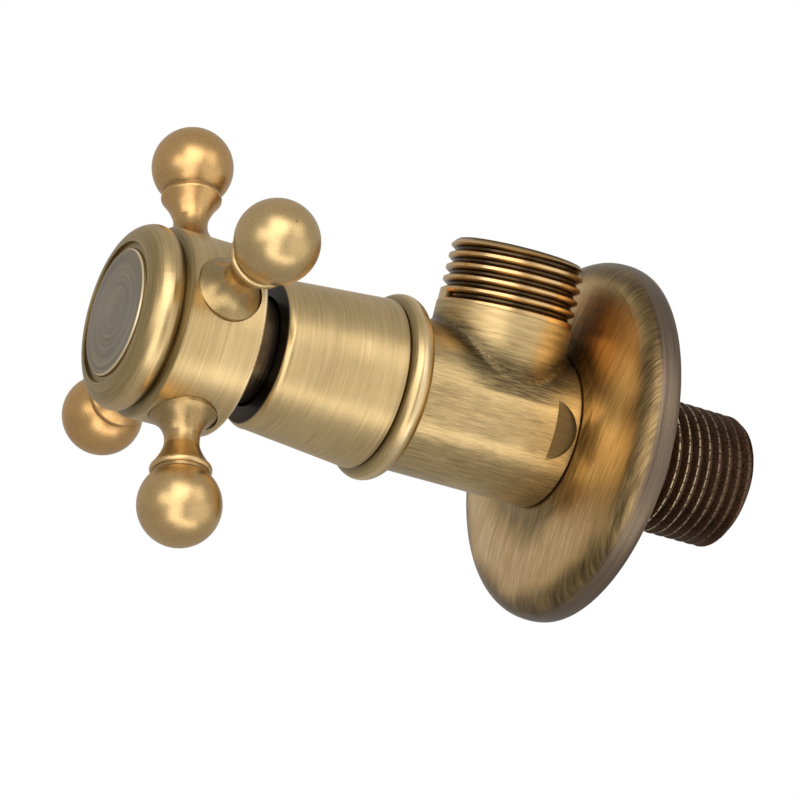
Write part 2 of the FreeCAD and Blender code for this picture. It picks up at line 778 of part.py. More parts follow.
def handle_arm(number):
    """Turned arm: stud, flared base, waist, collar and ball; its own Z points away from the hub."""
    body = new_body(f"handle_arm_{number}")
    turned(body, "arm", [
        ("0", "arm_stud_floor"),
        ("arm_stud_radius", "arm_stud_floor"),
        ("arm_stud_radius", "arm_socket_floor + 0.05"),
        ("arm_base_radius", "arm_socket_floor + 0.05"),
        ("arm_base_radius", "arm_base_top", "-arm_cove_bend"),
        ("arm_waist_radius", "arm_waist_low", "-arm_waist_bend"),
        ("arm_waist_radius", "arm_waist_high", "-arm_flare_bend"),
        ("collar_foot_radius", "collar_low", "collar_bead_bend"),
        ("collar_nick_radius", "collar_high"),
        ("collar_nick_radius", "ball_centre - sqrt(ball_radius ^ 2 - collar_nick_radius ^ 2)", "ball_radius"),
        ("0", "ball_centre + ball_radius"),
    ])
    angle = 360 / SIZES["arm_count"] * (number - 1) - value("handle_turn")
    body.Placement = Placement(Vector(0, -value("arm_station"), 0), Rotation(Vector(0, 1, 0), angle))
    return body


def index_button():
    """Plain index disc that plugs into the hub, hollow behind, with a groove for its rubber ring."""
    body = new_body("index_button")
    turned(body, "button", [
        ("0", "button_rear + button_hollow_depth"),
        ("button_hollow_radius", "button_rear + button_hollow_depth"),
        ("button_hollow_radius", "button_rear"),
        ("button_radius", "button_rear"),
        ("button_radius", "button_ring_low"),
        ("button_ring_floor", "button_ring_low"),
        ("button_ring_floor", "button_ring_high"),
        ("button_radius", "button_ring_high"),
        ("button_radius", "button_front - button_edge"),
        ("button_radius - button_edge", "button_front"),
        ("0", "button_front"),
    ])
    return along_valve(body)


def handle_screw():
    """Cap screw that holds the hub on the stem, with a hexagon key socket."""
    body = new_body("handle_screw")
    seat = "screw_seat + spring_washer_thickness"
    turned(body, "screw", [
        ("0", "screw_tip"),
        ("screw_shank_radius - 0.5", "screw_tip"),
        ("screw_shank_radius", "screw_tip + 0.5"),
        ("screw_shank_radius", seat),
        ("screw_head_radius", seat),
        ("screw_head_radius", f"{seat} + screw_head_height - 0.3"),
        ("screw_head_radius - 0.3", f"{seat} + screw_head_height"),
        ("0", f"{seat} + screw_head_height"),
    ])
    sketch = new_sketch(body, "key_profile", "XY_Plane", lift=f"{seat} + screw_head_height")
    polygon(sketch, 6, "screw_key_across_flats", "30")
    feature(body, "Pocket", "key_socket", sketch, Length="screw_key_depth")
    return along_valve(body)


def spring_washer():
    """Split washer under the screw head."""
    body = washer(
        "spring_washer", "spring_washer_inner", "spring_washer_outer", "screw_seat",
        "screw_seat + spring_washer_thickness")
    split(body, "split", "spring_washer_outer", "spring_washer_split")
    return along_valve(body)


def build():
    """Every separate piece of the valve, root side first and then the parts that turn with the handle."""
    parts = [
        valve_body(),
        escutcheon(),
        bonnet_sleeve(),
        cartridge_housing(),
        o_ring(
            "housing_o_ring", "(cavity_radius + housing_ring_floor) / 2",
            "(housing_ring_low + housing_ring_high) / 2", "housing_ring_section"),
        along_valve(washer(
            "seat_gasket", "gasket_inner_radius", "gasket_outer_radius", "seat_station", "gasket_top")),
        along_valve(ceramic_disc("fixed_disc", "gasket_top", "fixed_disc_top", 0)),
        along_valve(washer(
            "thrust_washer", "washer_inner_radius", "washer_outer_radius", "stop_top + disc_gap",
            "thrust_station")),
        rotating_disc(),
        spindle(),
        spindle_clip(),
        handle_hub(),
        stem_shroud(),
    ]
    for place, offset in (("lower", "0"), ("upper", "stem_ring_spacing")):
        parts.append(o_ring(
            f"spindle_o_ring_{place}", "(stem_bore_radius + stem_ring_floor) / 2",
            f"stem_ring_low + stem_ring_width / 2 + {offset}", "stem_ring_section"))
    parts += [handle_arm(k + 1) for k in range(SIZES["arm_count"])]
    parts += [
        index_button(),
        o_ring(
            "button_o_ring", "button_ring_floor + 0.05 + button_ring_radius",
            "(button_ring_low + button_ring_high) / 2", "button_ring_radius"),
        handle_screw(),
        spring_washer(),
    ]
    return parts


pieces = build()
doc.recompute()
for item in doc.Objects:
    if "Invalid" in item.State or "Error" in item.State:
        raise RuntimeError(f"{item.Name} did not build: {item.State}")
os.makedirs("parts", exist_ok=True)
for piece in pieces:
    if piece.Shape.isNull() or not piece.Shape.isValid() or len(piece.Shape.Solids) != 1:
        raise RuntimeError(f"{piece.Label} is not one valid solid")
    piece.Shape.exportStep(f"parts/{piece.Label}.step")
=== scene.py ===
import math

import bmesh
import bpy
from mathutils import Matrix, Vector
from mathutils.bvhtree import BVHTree
from mathutils.interpolate import poly_3d_calc


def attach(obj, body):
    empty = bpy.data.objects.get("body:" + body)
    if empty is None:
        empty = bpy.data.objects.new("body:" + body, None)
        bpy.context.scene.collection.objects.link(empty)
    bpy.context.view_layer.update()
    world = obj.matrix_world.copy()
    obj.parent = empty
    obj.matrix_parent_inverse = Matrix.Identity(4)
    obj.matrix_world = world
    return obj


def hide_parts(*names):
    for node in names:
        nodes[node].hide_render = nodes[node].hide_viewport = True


MM = 0.001
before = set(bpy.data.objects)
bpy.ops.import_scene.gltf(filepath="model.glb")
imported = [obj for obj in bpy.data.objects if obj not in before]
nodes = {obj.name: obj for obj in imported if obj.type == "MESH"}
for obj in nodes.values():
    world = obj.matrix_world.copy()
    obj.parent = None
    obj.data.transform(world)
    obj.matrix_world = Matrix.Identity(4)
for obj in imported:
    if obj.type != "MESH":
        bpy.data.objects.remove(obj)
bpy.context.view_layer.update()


# ---------------------------------------------------------------- shader graph helper

class Graph:
    """The node tree of one material or world, built left to right from sockets and numbers."""

    def __init__(self, owner):
        owner.use_nodes = True
        self.owner = owner
        self.tree = owner.node_tree
        self.tree.nodes.clear()

    def node(self, kind, outlet=0, settings=None, **inputs):
        item = self.tree.nodes.new(kind)
        for key, setting in (settings or {}).items():
            setattr(item, key, setting)
        for key, source in inputs.items():
            self.feed(item.inputs[key.replace("_", " ")], source)
        return item.outputs[outlet] if outlet is not None else item

    def feed(self, socket, source):
        if isinstance(source, bpy.types.NodeSocket):
            self.tree.links.new(source, socket)
        elif source is not None:
            socket.default_value = source

    def math(self, operation, a, b=None, clamp=False):
        item = self.tree.nodes.new("ShaderNodeMath")
        item.operation = operation
        item.use_clamp = clamp
        self.feed(item.inputs[0], a)
        self.feed(item.inputs[1], b)
        return item.outputs[0]

    def vector(self, operation, a, b=None):
        item = self.tree.nodes.new("ShaderNodeVectorMath")
        item.operation = operation
        self.feed(item.inputs[0], a)
        if b is not None:
            self.feed(item.inputs["Scale" if operation == "SCALE" else 1], b)
        return item.outputs["Value" if operation in ("LENGTH", "DOT_PRODUCT") else 0]

    def combine(self, x, y, z):
        return self.node("ShaderNodeCombineXYZ", X=x, Y=y, Z=z)

    def separate(self, vector):
        item = self.node("ShaderNodeSeparateXYZ", None, Vector=vector)
        return item.outputs[0], item.outputs[1], item.outputs[2]

    def step(self, value, low, high):
        """0 below low, 1 above high, smooth between; low may be the larger."""
        item = self.tree.nodes.new("ShaderNodeMapRange")
        item.interpolation_type = "SMOOTHSTEP"
        item.clamp = True
        self.feed(item.inputs["Value"], value)
        flip = low > high
        item.inputs["From Min"].default_value = min(low, high)
        item.inputs["From Max"].default_value = max(low, high)
        item.inputs["To Min"].default_value = 1.0 if flip else 0.0
        item.inputs["To Max"].default_value = 0.0 if flip else 1.0
        return item.outputs["Result"]

    def remap(self, value, low, high, to_low, to_high):
        item = self.tree.nodes.new("ShaderNodeMapRange")
        item.clamp = True
        self.feed(item.inputs["Value"], value)
        for name, number in (
            ("From Min", low), ("From Max", high), ("To Min", to_low), ("To Max", to_high),
        ):
            item.inputs[name].default_value = number
        return item.outputs["Result"]

    def noise(self, vector, scale, detail=3.0, roughness=0.55, w=None):
        item = self.tree.nodes.new("ShaderNodeTexNoise")
        item.noise_dimensions = "3D" if w is None else "4D"
        self.feed(item.inputs["Vector"], vector)
        item.inputs["Scale"].default_value = scale
        item.inputs["Detail"].default_value = detail
        item.inputs["Roughness"].default_value = roughness
        if w is not None:
            self.feed(item.inputs["W"], w)
        return item.outputs["Fac"]

    def ramp(self, value, stops):
        item = self.tree.nodes.new("ShaderNodeValToRGB")
        self.feed(item.inputs[0], value)
        marks = item.color_ramp.elements
        while len(marks) < len(stops):
            marks.new(0.5)
        for mark, (place, colour) in zip(marks, stops):
            mark.position = place
            mark.color = (*colour, 1.0)
        return item.outputs[0]

    def blend(self, share, a, b, kind="MIX"):
        item = self.tree.nodes.new("ShaderNodeMix")
        item.data_type = "RGBA"
        item.blend_type = kind
        self.feed(item.inputs[0], share)
        self.feed(item.inputs[6], a if not isinstance(a, tuple) else (*a, 1.0)[:4])
        self.feed(item.inputs[7], b if not isinstance(b, tuple) else (*b, 1.0)[:4])
        return item.outputs[2]

    def mix(self, share, a, b):
        """A number between a and b."""
        item = self.tree.nodes.new("ShaderNodeMix")
        item.data_type = "FLOAT"
        self.feed(item.inputs[0], share)
        self.feed(item.inputs[2], a)
        self.feed(item.inputs[3], b)
        return item.outputs[0]

    def mix_vectors(self, share, a, b):
        item = self.tree.nodes.new("ShaderNodeMix")
        item.data_type = "VECTOR"
        self.feed(item.inputs[0], share)
        self.feed(item.inputs[4], a)
        self.feed(item.inputs[5], b)
        return item.outputs[1]

    def bump(self, height, depth_mm, normal=None):
        return self.node(
            "ShaderNodeBump", Height=height, Strength=1.0, Distance=depth_mm * MM, Normal=normal)

    def finish(self, **inputs):
        shader = self.node("ShaderNodeBsdfPrincipled", **inputs)
        self.node("ShaderNodeOutputMaterial", None, Surface=shader)
        return self.owner


def material_graph(name):
    return Graph(bpy.data.materials.new(name))


class Surface:
    """Positions in millimetres on a material's surface, with the patterns that brushing follows."""

    def __init__(self, graph):
        self.g = graph
        coordinates = graph.node("ShaderNodeTexCoord", None)
        self.place = graph.vector("SCALE", coordinates.outputs["Object"], 1000.0)
        self.x, self.y, self.z = graph.separate(self.place)
        # distance from the valve axis, and the unit direction away from it
        flat = graph.combine(self.x, 0.0, self.z)
        self.axis_distance = graph.vector("LENGTH", flat)
        self.outward = graph.vector("NORMALIZE", flat)
        self.around_axis = graph.vector("CROSS_PRODUCT", (0.0, 1.0, 0.0), self.outward)

    def corner_shade_and_patina(self, reach_mm):
        """Painted shade from ambient occlusion, standing also for patina: 0 on open surface, up to 1 deep in
        a corner.
        """
        shade = self.g.node(
            "ShaderNodeAmbientOcclusion", 1, {"samples": 8, "only_local": False},
            Distance=reach_mm * MM)
        return self.g.math("SUBTRACT", 1.0, shade, clamp=True)

    def ring_streaks(self, outward, along, distance, fine, length, axis=(0.0, 1.0, 0.0)):
        """Brushing that runs around an axis: fine across, drawn out along the circle."""
        turn = self.g.vector("SCALE", outward, 9.0 / length)
        lift = self.g.math("MULTIPLY", along, fine)
        climb = self.g.combine(*(self.g.math("MULTIPLY", lift, part) for part in axis))
        across = self.g.vector("ADD", turn, climb)
        return self.g.noise(across, 1.0, 2.5, 0.62, w=self.g.math("MULTIPLY", distance, fine))

    def strokes(self, across, along, fine, drawn_out):
        """Straight brushing on the face of the flange, with the frequency across and along it."""
        point = self.g.combine(
            self.g.math("MULTIPLY", across, fine), self.g.math("MULTIPLY", self.y, 0.25),
            self.g.math("MULTIPLY", along, drawn_out))
        return self.g.noise(point, 1.0, 2.0, 0.6)

    def line_streaks(self, direction_scale):
        """Brushing that runs along one row axis: each coordinate times its own frequency."""
        stretched = self.g.vector("MULTIPLY", self.place, direction_scale)
        return self.g.noise(stretched, 1.0, 2.5, 0.62)


# ---------------------------------------------------------------- places and colours

# stations along the valve axis and radii about it, in millimetres
OUTLET_Y = -17.85
HANDLE_Y = -67.2
SHOULDER_Y = -6.83
FLAT_FRONT_Y = -12.3
FLANGE_RIM_Y = -3.8
THREAD_START_Y = 2.6
THREAD_END_Y = 26.0
BARREL_RADIUS = 11.7
SERRATIONS = 44
FIRST_ARM_ANGLE = -28.76
# for each arm: the share of turned lines, and how coppery it is
ARM_FINISH = ((0.35, 0.60), (0.15, 0.10), (0.15, 0.25), (0.75, 0.70))

CREAM = (0.90, 0.735, 0.460)
GOLD = (0.70, 0.505, 0.245)
TAN = (0.51, 0.365, 0.170)
OLIVE = (0.28, 0.204, 0.092)
UMBER = (0.105, 0.070, 0.036)
SOOT = (0.022, 0.016, 0.012)
FLANGE_TINT = (1.05, 0.97, 0.89)
BRONZE_TINT = (1.0, 0.74, 0.56)
COPPER_TINT = (1.08, 0.82, 0.60)
SPECKLE = (0.13, 0.07, 0.03)
CREST_WEAR_AND_HIGHLIGHT = (0.66, 0.53, 0.33)
RIM_REFLECTION_GREY = (0.185, 0.145, 0.118)
GUNMETAL = (0.075, 0.072, 0.072)
GUNMETAL_DARK = (0.022, 0.021, 0.022)


def brass_colour(g, tone):
    """Antique brass from dark patina (0) through olive and tan to rubbed gold (1)."""
    return g.ramp(tone, [(0.0, SOOT), (0.18, UMBER), (0.40, OLIVE), (0.62, TAN), (0.82, GOLD), (1.0, CREAM)])


def tone_of(g, base, streaks, clouds, corner_shade_and_patina, streak_gain, cloud_gain, shade_and_patina_gain):
    """Patina tone: a base level moved by brushing, cloudy wear and painted shade in corners, which stands
    also for patina there.
    """
    tone = g.math("ADD", base, g.math("MULTIPLY", g.math("SUBTRACT", streaks, 0.5), streak_gain * 2))
    tone = g.math("ADD", tone, g.math("MULTIPLY", g.math("SUBTRACT", clouds, 0.5), cloud_gain * 2))
    return g.math("SUBTRACT", tone, g.math("MULTIPLY", corner_shade_and_patina, shade_and_patina_gain), clamp=True)


def band(g, y, centre, half_width, softness):
    """1 within a ring around the valve axis, fading out over the softness."""
    away = g.math("ABSOLUTE", g.math("ADD", y, -centre))
    return g.step(away, half_width + softness, half_width)


def turned_brass(name, base, dark_rings=(), bright_rings=(), gunmetal_front=None):
    """Brass brushed around the valve axis, with patina left in grooves, painted shade in corners that stands
    also for patina, and edges rubbed bright.

    A ring is (station, half width, softness, strength); gunmetal_front is (station, radius).
    """
    g = material_graph(name)
    s = Surface(g)
    streaks = s.ring_streaks(s.outward, s.y, s.axis_distance, 4.2, 7.0)
    hairs = s.ring_streaks(s.outward, s.y, s.axis_distance, 12.0, 10.0)
    clouds = g.noise(s.place, 0.13, 3.0)
    both = g.mix(0.5, streaks, hairs)
    tone = tone_of(
        g, base, both, clouds, s.corner_shade_and_patina(1.4), streak_gain=0.42, cloud_gain=0.17, shade_and_patina_gain=0.30)
    for centre, half_width, softness, depth in dark_rings:
        ring = g.math("MULTIPLY", band(g, s.y, centre, half_width, softness), depth)
        tone = g.math("SUBTRACT", tone, g.math("MULTIPLY", ring, g.math("ADD", clouds, 0.5)), clamp=True)
    for centre, half_width, softness, gain in bright_rings:
        ring = g.math("MULTIPLY", band(g, s.y, centre, half_width, softness), gain)
        tone = g.math("ADD", tone, ring, clamp=True)
    colour = brass_colour(g, tone)
    if gunmetal_front is not None:
        station, radius = gunmetal_front
        before_station = g.step(s.y, station + 0.12, station)
        within_radius = g.step(s.axis_distance, radius, radius - 0.2)
        face = g.math("MULTIPLY", before_station, within_radius)
        colour = g.blend(face, colour, g.ramp(both, [(0.2, GUNMETAL_DARK), (0.8, GUNMETAL)]))
    rough = g.math("ADD", 0.24, g.math("MULTIPLY", both, 0.14))
    return g.finish(
        Base_Color=colour, Metallic=1.0, Roughness=rough, Anisotropic=0.62, Anisotropic_Rotation=0.0,
        Tangent=s.around_axis, Normal=g.bump(both, 0.014))


def flange_brass(name):
    """Wall flange: oblique brush strokes on the dome, turned lines on the rim band, painted shade and dark
    reflections at the neck and shoulder that stand also for patina, and a painted grey reflection on the rim
    band.
    """
    g = material_graph(name)
    s = Surface(g)
    # strokes lean across the dome, so they are drawn along a tilted direction
    lean = math.radians(14)
    along = g.math(
        "ADD", g.math("MULTIPLY", s.z, math.cos(lean)), g.math("MULTIPLY", s.x, math.sin(lean)))
    across = g.math(
        "SUBTRACT", g.math("MULTIPLY", s.x, math.cos(lean)), g.math("MULTIPLY", s.z, math.sin(lean)))
    coarse = s.strokes(across, along, 1.5, 0.12)
    fine = s.strokes(across, along, 5.2, 0.26)
    strokes = g.mix(0.62, coarse, fine)
    rings = s.ring_streaks(s.outward, s.y, s.axis_distance, 5.0, 9.0)
    rim = g.step(s.y, FLANGE_RIM_Y, FLANGE_RIM_Y + 1.4)
    both = g.mix(rim, strokes, rings)
    clouds = g.noise(s.place, 0.075, 2.0)
    # painted shade and dark reflections at the neck and on the shoulder that turns down to the rim, standing
    # also for patina there
    wander = g.math("MULTIPLY", g.math("SUBTRACT", clouds, 0.5), 9.0)
    ragged = g.math("ADD", s.axis_distance, wander)
    ragged = g.math("ADD", ragged, g.math("MULTIPLY", g.math("SUBTRACT", coarse, 0.5), 2.0))
    neck_shade_and_patina = g.step(ragged, 19.0, 12.5)
    shoulder_shade_and_patina = g.step(ragged, 22.8, 26.6)
    tone = tone_of(
        g, 0.84, both, clouds, s.corner_shade_and_patina(0.6), streak_gain=0.52, cloud_gain=0.16, shade_and_patina_gain=0.2)
    tone = g.math("SUBTRACT", tone, g.math("MULTIPLY", neck_shade_and_patina, 0.38), clamp=True)
    tone = g.math("SUBTRACT", tone, g.math("MULTIPLY", shoulder_shade_and_patina, 0.56), clamp=True)
    colour = g.blend(1.0, brass_colour(g, tone), FLANGE_TINT, "MULTIPLY")
    # painted grey reflection on the rim band
    colour = g.blend(g.math("MULTIPLY", rim, 0.65), colour, RIM_REFLECTION_GREY)
    stroke_way = g.combine(math.sin(lean), 0.0, math.cos(lean))
    tangent = g.mix_vectors(rim, stroke_way, s.around_axis)
    rough = g.math("ADD", 0.27, g.math("MULTIPLY", both, 0.16))
    return g.finish(
        Base_Color=colour, Metallic=1.0, Roughness=rough, Anisotropic=0.5, Tangent=tangent,
        Normal=g.bump(both, 0.032))


def body_streaks(g, s, boss, outlet_distance, outlet_outward):
    """Brushing of the body: along the barrel, around the boss."""
    barrel_coarse = s.line_streaks((3.0, 0.16, 3.0))
    barrel_fine = s.line_streaks((7.0, 0.40, 7.0))
    barrel_streaks = g.mix(0.62, barrel_coarse, barrel_fine)
    # the fillet at the foot of the boss spreads outwards, so that direction is drawn out too
    boss_depth = g.math("MULTIPLY", outlet_distance, 0.2)
    boss_coarse = s.ring_streaks(outlet_outward, s.z, boss_depth, 2.6, 4.0, (0.0, 0.0, 1.0))
    boss_fine = s.ring_streaks(outlet_outward, s.z, boss_depth, 9.0, 5.0, (0.0, 0.0, 1.0))
    boss_streaks = g.mix(0.5, boss_coarse, boss_fine)
    return g.mix(boss, barrel_streaks, boss_streaks)


def valley_shade_and_patina(g, s, upper, outlet_distance):
    """Painted shade in the valley around the boss and in tight corners, standing also for patina there."""
    near_barrel = g.step(s.axis_distance, 14.6, 12.2)
    near_boss = g.step(outlet_distance, 15.0, 10.7)
    fillet = g.math("MULTIPLY", near_barrel, near_boss)
    fillet_shade = g.math("MULTIPLY", g.math("MULTIPLY", fillet, upper), 0.42)
    return g.math("ADD", fillet_shade, g.math("MULTIPLY", s.corner_shade_and_patina(0.8), 0.20))


def nipple_oxide(g, s, grit):
    """Red-brown oxide, with short bright dashes on the thread's crests: rubbed wear with a painted highlight.
    """
    oxide = g.ramp(grit, [(0.25, (0.042, 0.024, 0.015)), (0.80, (0.165, 0.090, 0.053))])
    patches = g.step(g.noise(s.place, 0.6, 2.0), 0.34, 0.50)
    # bright crest dashes: rubbed wear with a painted highlight, fading out along the nipple away from the
    # flange
    rubbed_and_lit = g.math("MULTIPLY", g.step(s.y, 24.0, 8.0), patches)
    crest = g.step(s.axis_distance, 10.40, 10.45)
    crest = g.math("MULTIPLY", crest, g.math("ADD", rubbed_and_lit, 0.06, clamp=True))
    # the plain land before the thread has the crest's radius too, but gets no bright dashes
    crest = g.math("MULTIPLY", crest, g.step(s.y, THREAD_START_Y, THREAD_START_Y + 0.6))
    return g.blend(crest, oxide, CREST_WEAR_AND_HIGHLIGHT)


def body_brass(name):
    """Body: lengthwise brushing on the barrel, turned boss, threads with dark roots and bright crests,
    painted shade in the valley around the boss, and darkened wrench flats.
    """
    g = material_graph(name)
    s = Surface(g)
    from_outlet = g.combine(s.x, g.math("ADD", s.y, -OUTLET_Y), 0.0)
    outlet_distance = g.vector("LENGTH", from_outlet)
    outlet_outward = g.vector("NORMALIZE", from_outlet)
    outlet_around = g.vector("CROSS_PRODUCT", (0.0, 0.0, 1.0), outlet_outward)

    # regions, each 1 inside and 0 outside
    upper = g.step(s.z, 3.0, 3.5)
    boss = g.math("MULTIPLY", upper, g.step(s.axis_distance, BARREL_RADIUS + 0.08, BARREL_RADIUS + 1.1))
    nipple = g.step(s.y, SHOULDER_Y - 0.03, SHOULDER_Y + 0.03)
    below_barrel = g.step(s.axis_distance, BARREL_RADIUS - 0.01, BARREL_RADIUS - 0.28)
    flat = g.math("MULTIPLY", below_barrel, g.step(s.y, FLAT_FRONT_Y, FLAT_FRONT_Y + 1.0))
    flat = g.math("MULTIPLY", flat, g.math("SUBTRACT", 1.0, nipple))
    outlet_thread = g.math("MULTIPLY", boss, g.step(s.z, 15.2, 15.6))
    unbrushed = g.math("MAXIMUM", nipple, flat)

    streaks = body_streaks(g, s, boss, outlet_distance, outlet_outward)
    clouds = g.noise(s.place, 0.12, 3.0)
    # painted shade in the valley around the boss and in corners, standing also for patina
    corner = valley_shade_and_patina(g, s, upper, outlet_distance)
    tone = tone_of(
        g, 0.64, streaks, clouds, corner, streak_gain=0.56, cloud_gain=0.18, shade_and_patina_gain=1.0)
    # outlet thread: darker at the roots, lighter at the crests
    outlet_crest = g.step(outlet_distance, 9.60, 10.15)
    outlet_wear = g.math("MULTIPLY", g.math("SUBTRACT", streaks, 0.5), 0.45)
    outlet_tone = g.math("ADD", g.mix(outlet_crest, 0.15, 0.84), outlet_wear, clamp=True)
    tone = g.mix(outlet_thread, tone, outlet_tone)
    flat_tone = g.math("ADD", 0.16, g.math("MULTIPLY", streaks, 0.26))
    tone = g.mix(flat, tone, flat_tone)

    colour = brass_colour(g, tone)
    bronze = g.blend(1.0, colour, BRONZE_TINT, "MULTIPLY")
    colour = g.blend(g.math("MULTIPLY", outlet_thread, 0.35), colour, bronze)
    grit = g.noise(s.place, 2.2, 3.0, 0.7)
    colour = g.blend(nipple, colour, nipple_oxide(g, s, grit))

    tangent = g.mix_vectors(boss, (0.0, 1.0, 0.0), outlet_around)
    tangent = g.mix_vectors(nipple, tangent, s.around_axis)
    rough = g.math("ADD", 0.27, g.math("MULTIPLY", streaks, 0.16))
    rough = g.mix(outlet_thread, rough, 0.22)
    rough = g.mix(unbrushed, rough, g.math("ADD", 0.36, g.math("MULTIPLY", grit, 0.25)))
    return g.finish(
        Base_Color=colour, Metallic=1.0, Roughness=rough, Anisotropic=g.mix(unbrushed, 0.6, 0.0),
        Tangent=tangent, Normal=g.bump(g.mix(nipple, streaks, grit), 0.018))


def arm_brass(name, angle, lathe_lines, copper_share):
    """Satin arms: fine cast speckle, faint turned lines about the arm's own axis."""
    g = material_graph(name)
    s = Surface(g)
    along = g.math(
        "ADD", g.math("MULTIPLY", s.x, math.sin(angle)), g.math("MULTIPLY", s.z, math.cos(angle)))
    side = g.math(
        "SUBTRACT", g.math("MULTIPLY", s.x, math.cos(angle)), g.math("MULTIPLY", s.z, math.sin(angle)))
    radial = g.combine(side, g.math("ADD", s.y, -HANDLE_Y), 0.0)
    distance = g.vector("LENGTH", radial)
    rings = s.ring_streaks(g.vector("NORMALIZE", radial), along, distance, 4.5, 5.0, (0.0, 0.0, 1.0))
    grain = g.noise(s.place, 3.6, 4.0, 0.75)
    speckle = g.step(g.noise(s.place, 2.6, 3.0, 0.65), 0.56, 0.70)
    clouds = g.noise(s.place, 0.22, 3.0)
    surface = g.mix(lathe_lines, grain, rings)
    tone = tone_of(
        g, 0.72, surface, clouds, s.corner_shade_and_patina(1.2), streak_gain=0.24, cloud_gain=0.07, shade_and_patina_gain=0.35)
    # painted shade kept in the nick between the collar and the ball, standing also for patina there
    nick_shade_and_patina = g.math("MULTIPLY", band(g, along, 23.60, 0.10, 0.5), 0.14)
    tone = g.math("SUBTRACT", tone, nick_shade_and_patina, clamp=True)
    # painted shade towards the foot, where the arm meets the hub
    foot_shade = g.math("MULTIPLY", g.step(along, 20.0, 15.5), 0.20)
    tone = g.math("SUBTRACT", tone, foot_shade, clamp=True)
    # painted highlight along the collar's upper edge, partly edge wear
    edge_wear_and_highlight = g.math("MULTIPLY", band(g, along, 23.15, 0.08, 0.15), 0.16)
    tone = g.math("ADD", tone, edge_wear_and_highlight, clamp=True)
    colour = brass_colour(g, tone)
    coppery = g.blend(1.0, colour, COPPER_TINT, "MULTIPLY")
    colour = g.blend(copper_share, colour, coppery)
    colour = g.blend(g.math("MULTIPLY", speckle, 0.16), colour, SPECKLE)
    rough = g.math("ADD", 0.28, g.math("MULTIPLY", grain, 0.08))
    return g.finish(Base_Color=colour, Metallic=1.0, Roughness=rough, Normal=g.bump(surface, 0.014))


def disc_brass(name):
    """Index disc: grey-brown face with concentric turned rings and a painted highlight on its edge."""
    g = material_graph(name)
    s = Surface(g)
    rings = s.ring_streaks(s.outward, 0.0, s.axis_distance, 1.5, 40.0)
    fine = s.ring_streaks(s.outward, 0.0, s.axis_distance, 5.0, 30.0)
    both = g.mix(0.4, rings, fine)
    clouds = g.noise(s.place, 0.15, 2.0)
    tone = tone_of(
        g, 0.48, both, clouds, s.corner_shade_and_patina(0.6), streak_gain=0.40, cloud_gain=0.10, shade_and_patina_gain=0.5)
    pewter = g.ramp(both, [(0.25, (0.17, 0.145, 0.115)), (0.75, (0.46, 0.42, 0.36))])
    colour = g.blend(0.62, brass_colour(g, tone), pewter)
    # painted highlight on the disc's chamfered edge
    edge_highlight = g.step(s.axis_distance, 9.20, 9.30)
    colour = g.blend(edge_highlight, colour, CREAM)
    rough = g.math("ADD", 0.30, g.math("MULTIPLY", both, 0.14))
    return g.finish(
        Base_Color=colour, Metallic=1.0, Roughness=rough, Anisotropic=0.55, Tangent=s.around_axis,
        Normal=g.bump(both, 0.020))


def dark_brass(name, tone_level):
    """Darkened machined brass for the stem and the cartridge."""
    g = material_graph(name)
    s = Surface(g)
    rings = s.ring_streaks(s.outward, s.y, s.axis_distance, 5.0, 6.0)
    clouds = g.noise(s.place, 0.3, 2.0)
    tone = tone_of(
        g, tone_level, rings, clouds, s.corner_shade_and_patina(1.5), streak_gain=0.15, cloud_gain=0.12, shade_and_patina_gain=0.3)
    rough = g.math("ADD", 0.26, g.math("MULTIPLY", rings, 0.18))
    return g.finish(
        Base_Color=brass_colour(g, tone), Metallic=1.0, Roughness=rough, Anisotropic=0.4,
        Tangent=s.around_axis, Normal=g.bump(rings, 0.010))


def plain_grain(name, low, high, scale, rough, metallic=0.0, depth_mm=0.01):
    """Fine-grained plain material: rubber, ceramic, plastic or steel."""
    g = material_graph(name)
    s = Surface(g)
    grain = g.noise(s.place, scale, 4.0, 0.6)
    colour = g.ramp(grain, [(0.25, low), (0.75, high)])
    roughness = g.math("ADD", rough, g.math("MULTIPLY", g.math("SUBTRACT", grain, 0.5), 0.2))
    return g.finish(Base_Color=colour, Metallic=metallic, Roughness=roughness, Normal=g.bump(grain, depth_mm))


# ---------------------------------------------------------------- pieces

def dress(obj, material):
    """One material in every slot of the piece."""
    if not obj.material_slots:
        obj.data.materials.append(None)
    for place in obj.material_slots:
        place.material = material


def serration_cutter(count, low_y, high_y):
    """Thin bars around the nipple whose inner edges reach just under the thread crests."""
    cutter = bmesh.new()
    inner, outer, half = 10.22 * MM, 10.9 * MM, 0.12 * MM
    for k in range(count):
        turn = Matrix.Rotation(2 * math.pi * (k + 0.5) / count, 4, "Y")
        corners = [
            (inner, -half * 0.5), (outer, -half * 1.6), (outer, half * 1.6), (inner, half * 0.5),
        ]
        rings = []
        for y in (low_y, high_y):
            rings.append([cutter.verts.new(turn @ Vector((r, y, side))) for r, side in corners])
        near, far = rings
        cutter.faces.new(near)
        cutter.faces.new(list(reversed(far)))
        for i in range(4):
            j = (i + 1) % 4
            cutter.faces.new((near[j], near[i], far[i], far[j]))
    bmesh.ops.recalc_face_normals(cutter, faces=cutter.faces)
    mesh = bpy.data.meshes.new("serration_cutter")
    cutter.to_mesh(mesh)
    cutter.free()
    return bpy.data.objects.new("serration_cutter", mesh)


SAME_FACE_DISTANCE = 0.002 * MM
SAME_FACE_COSINE = 0.99


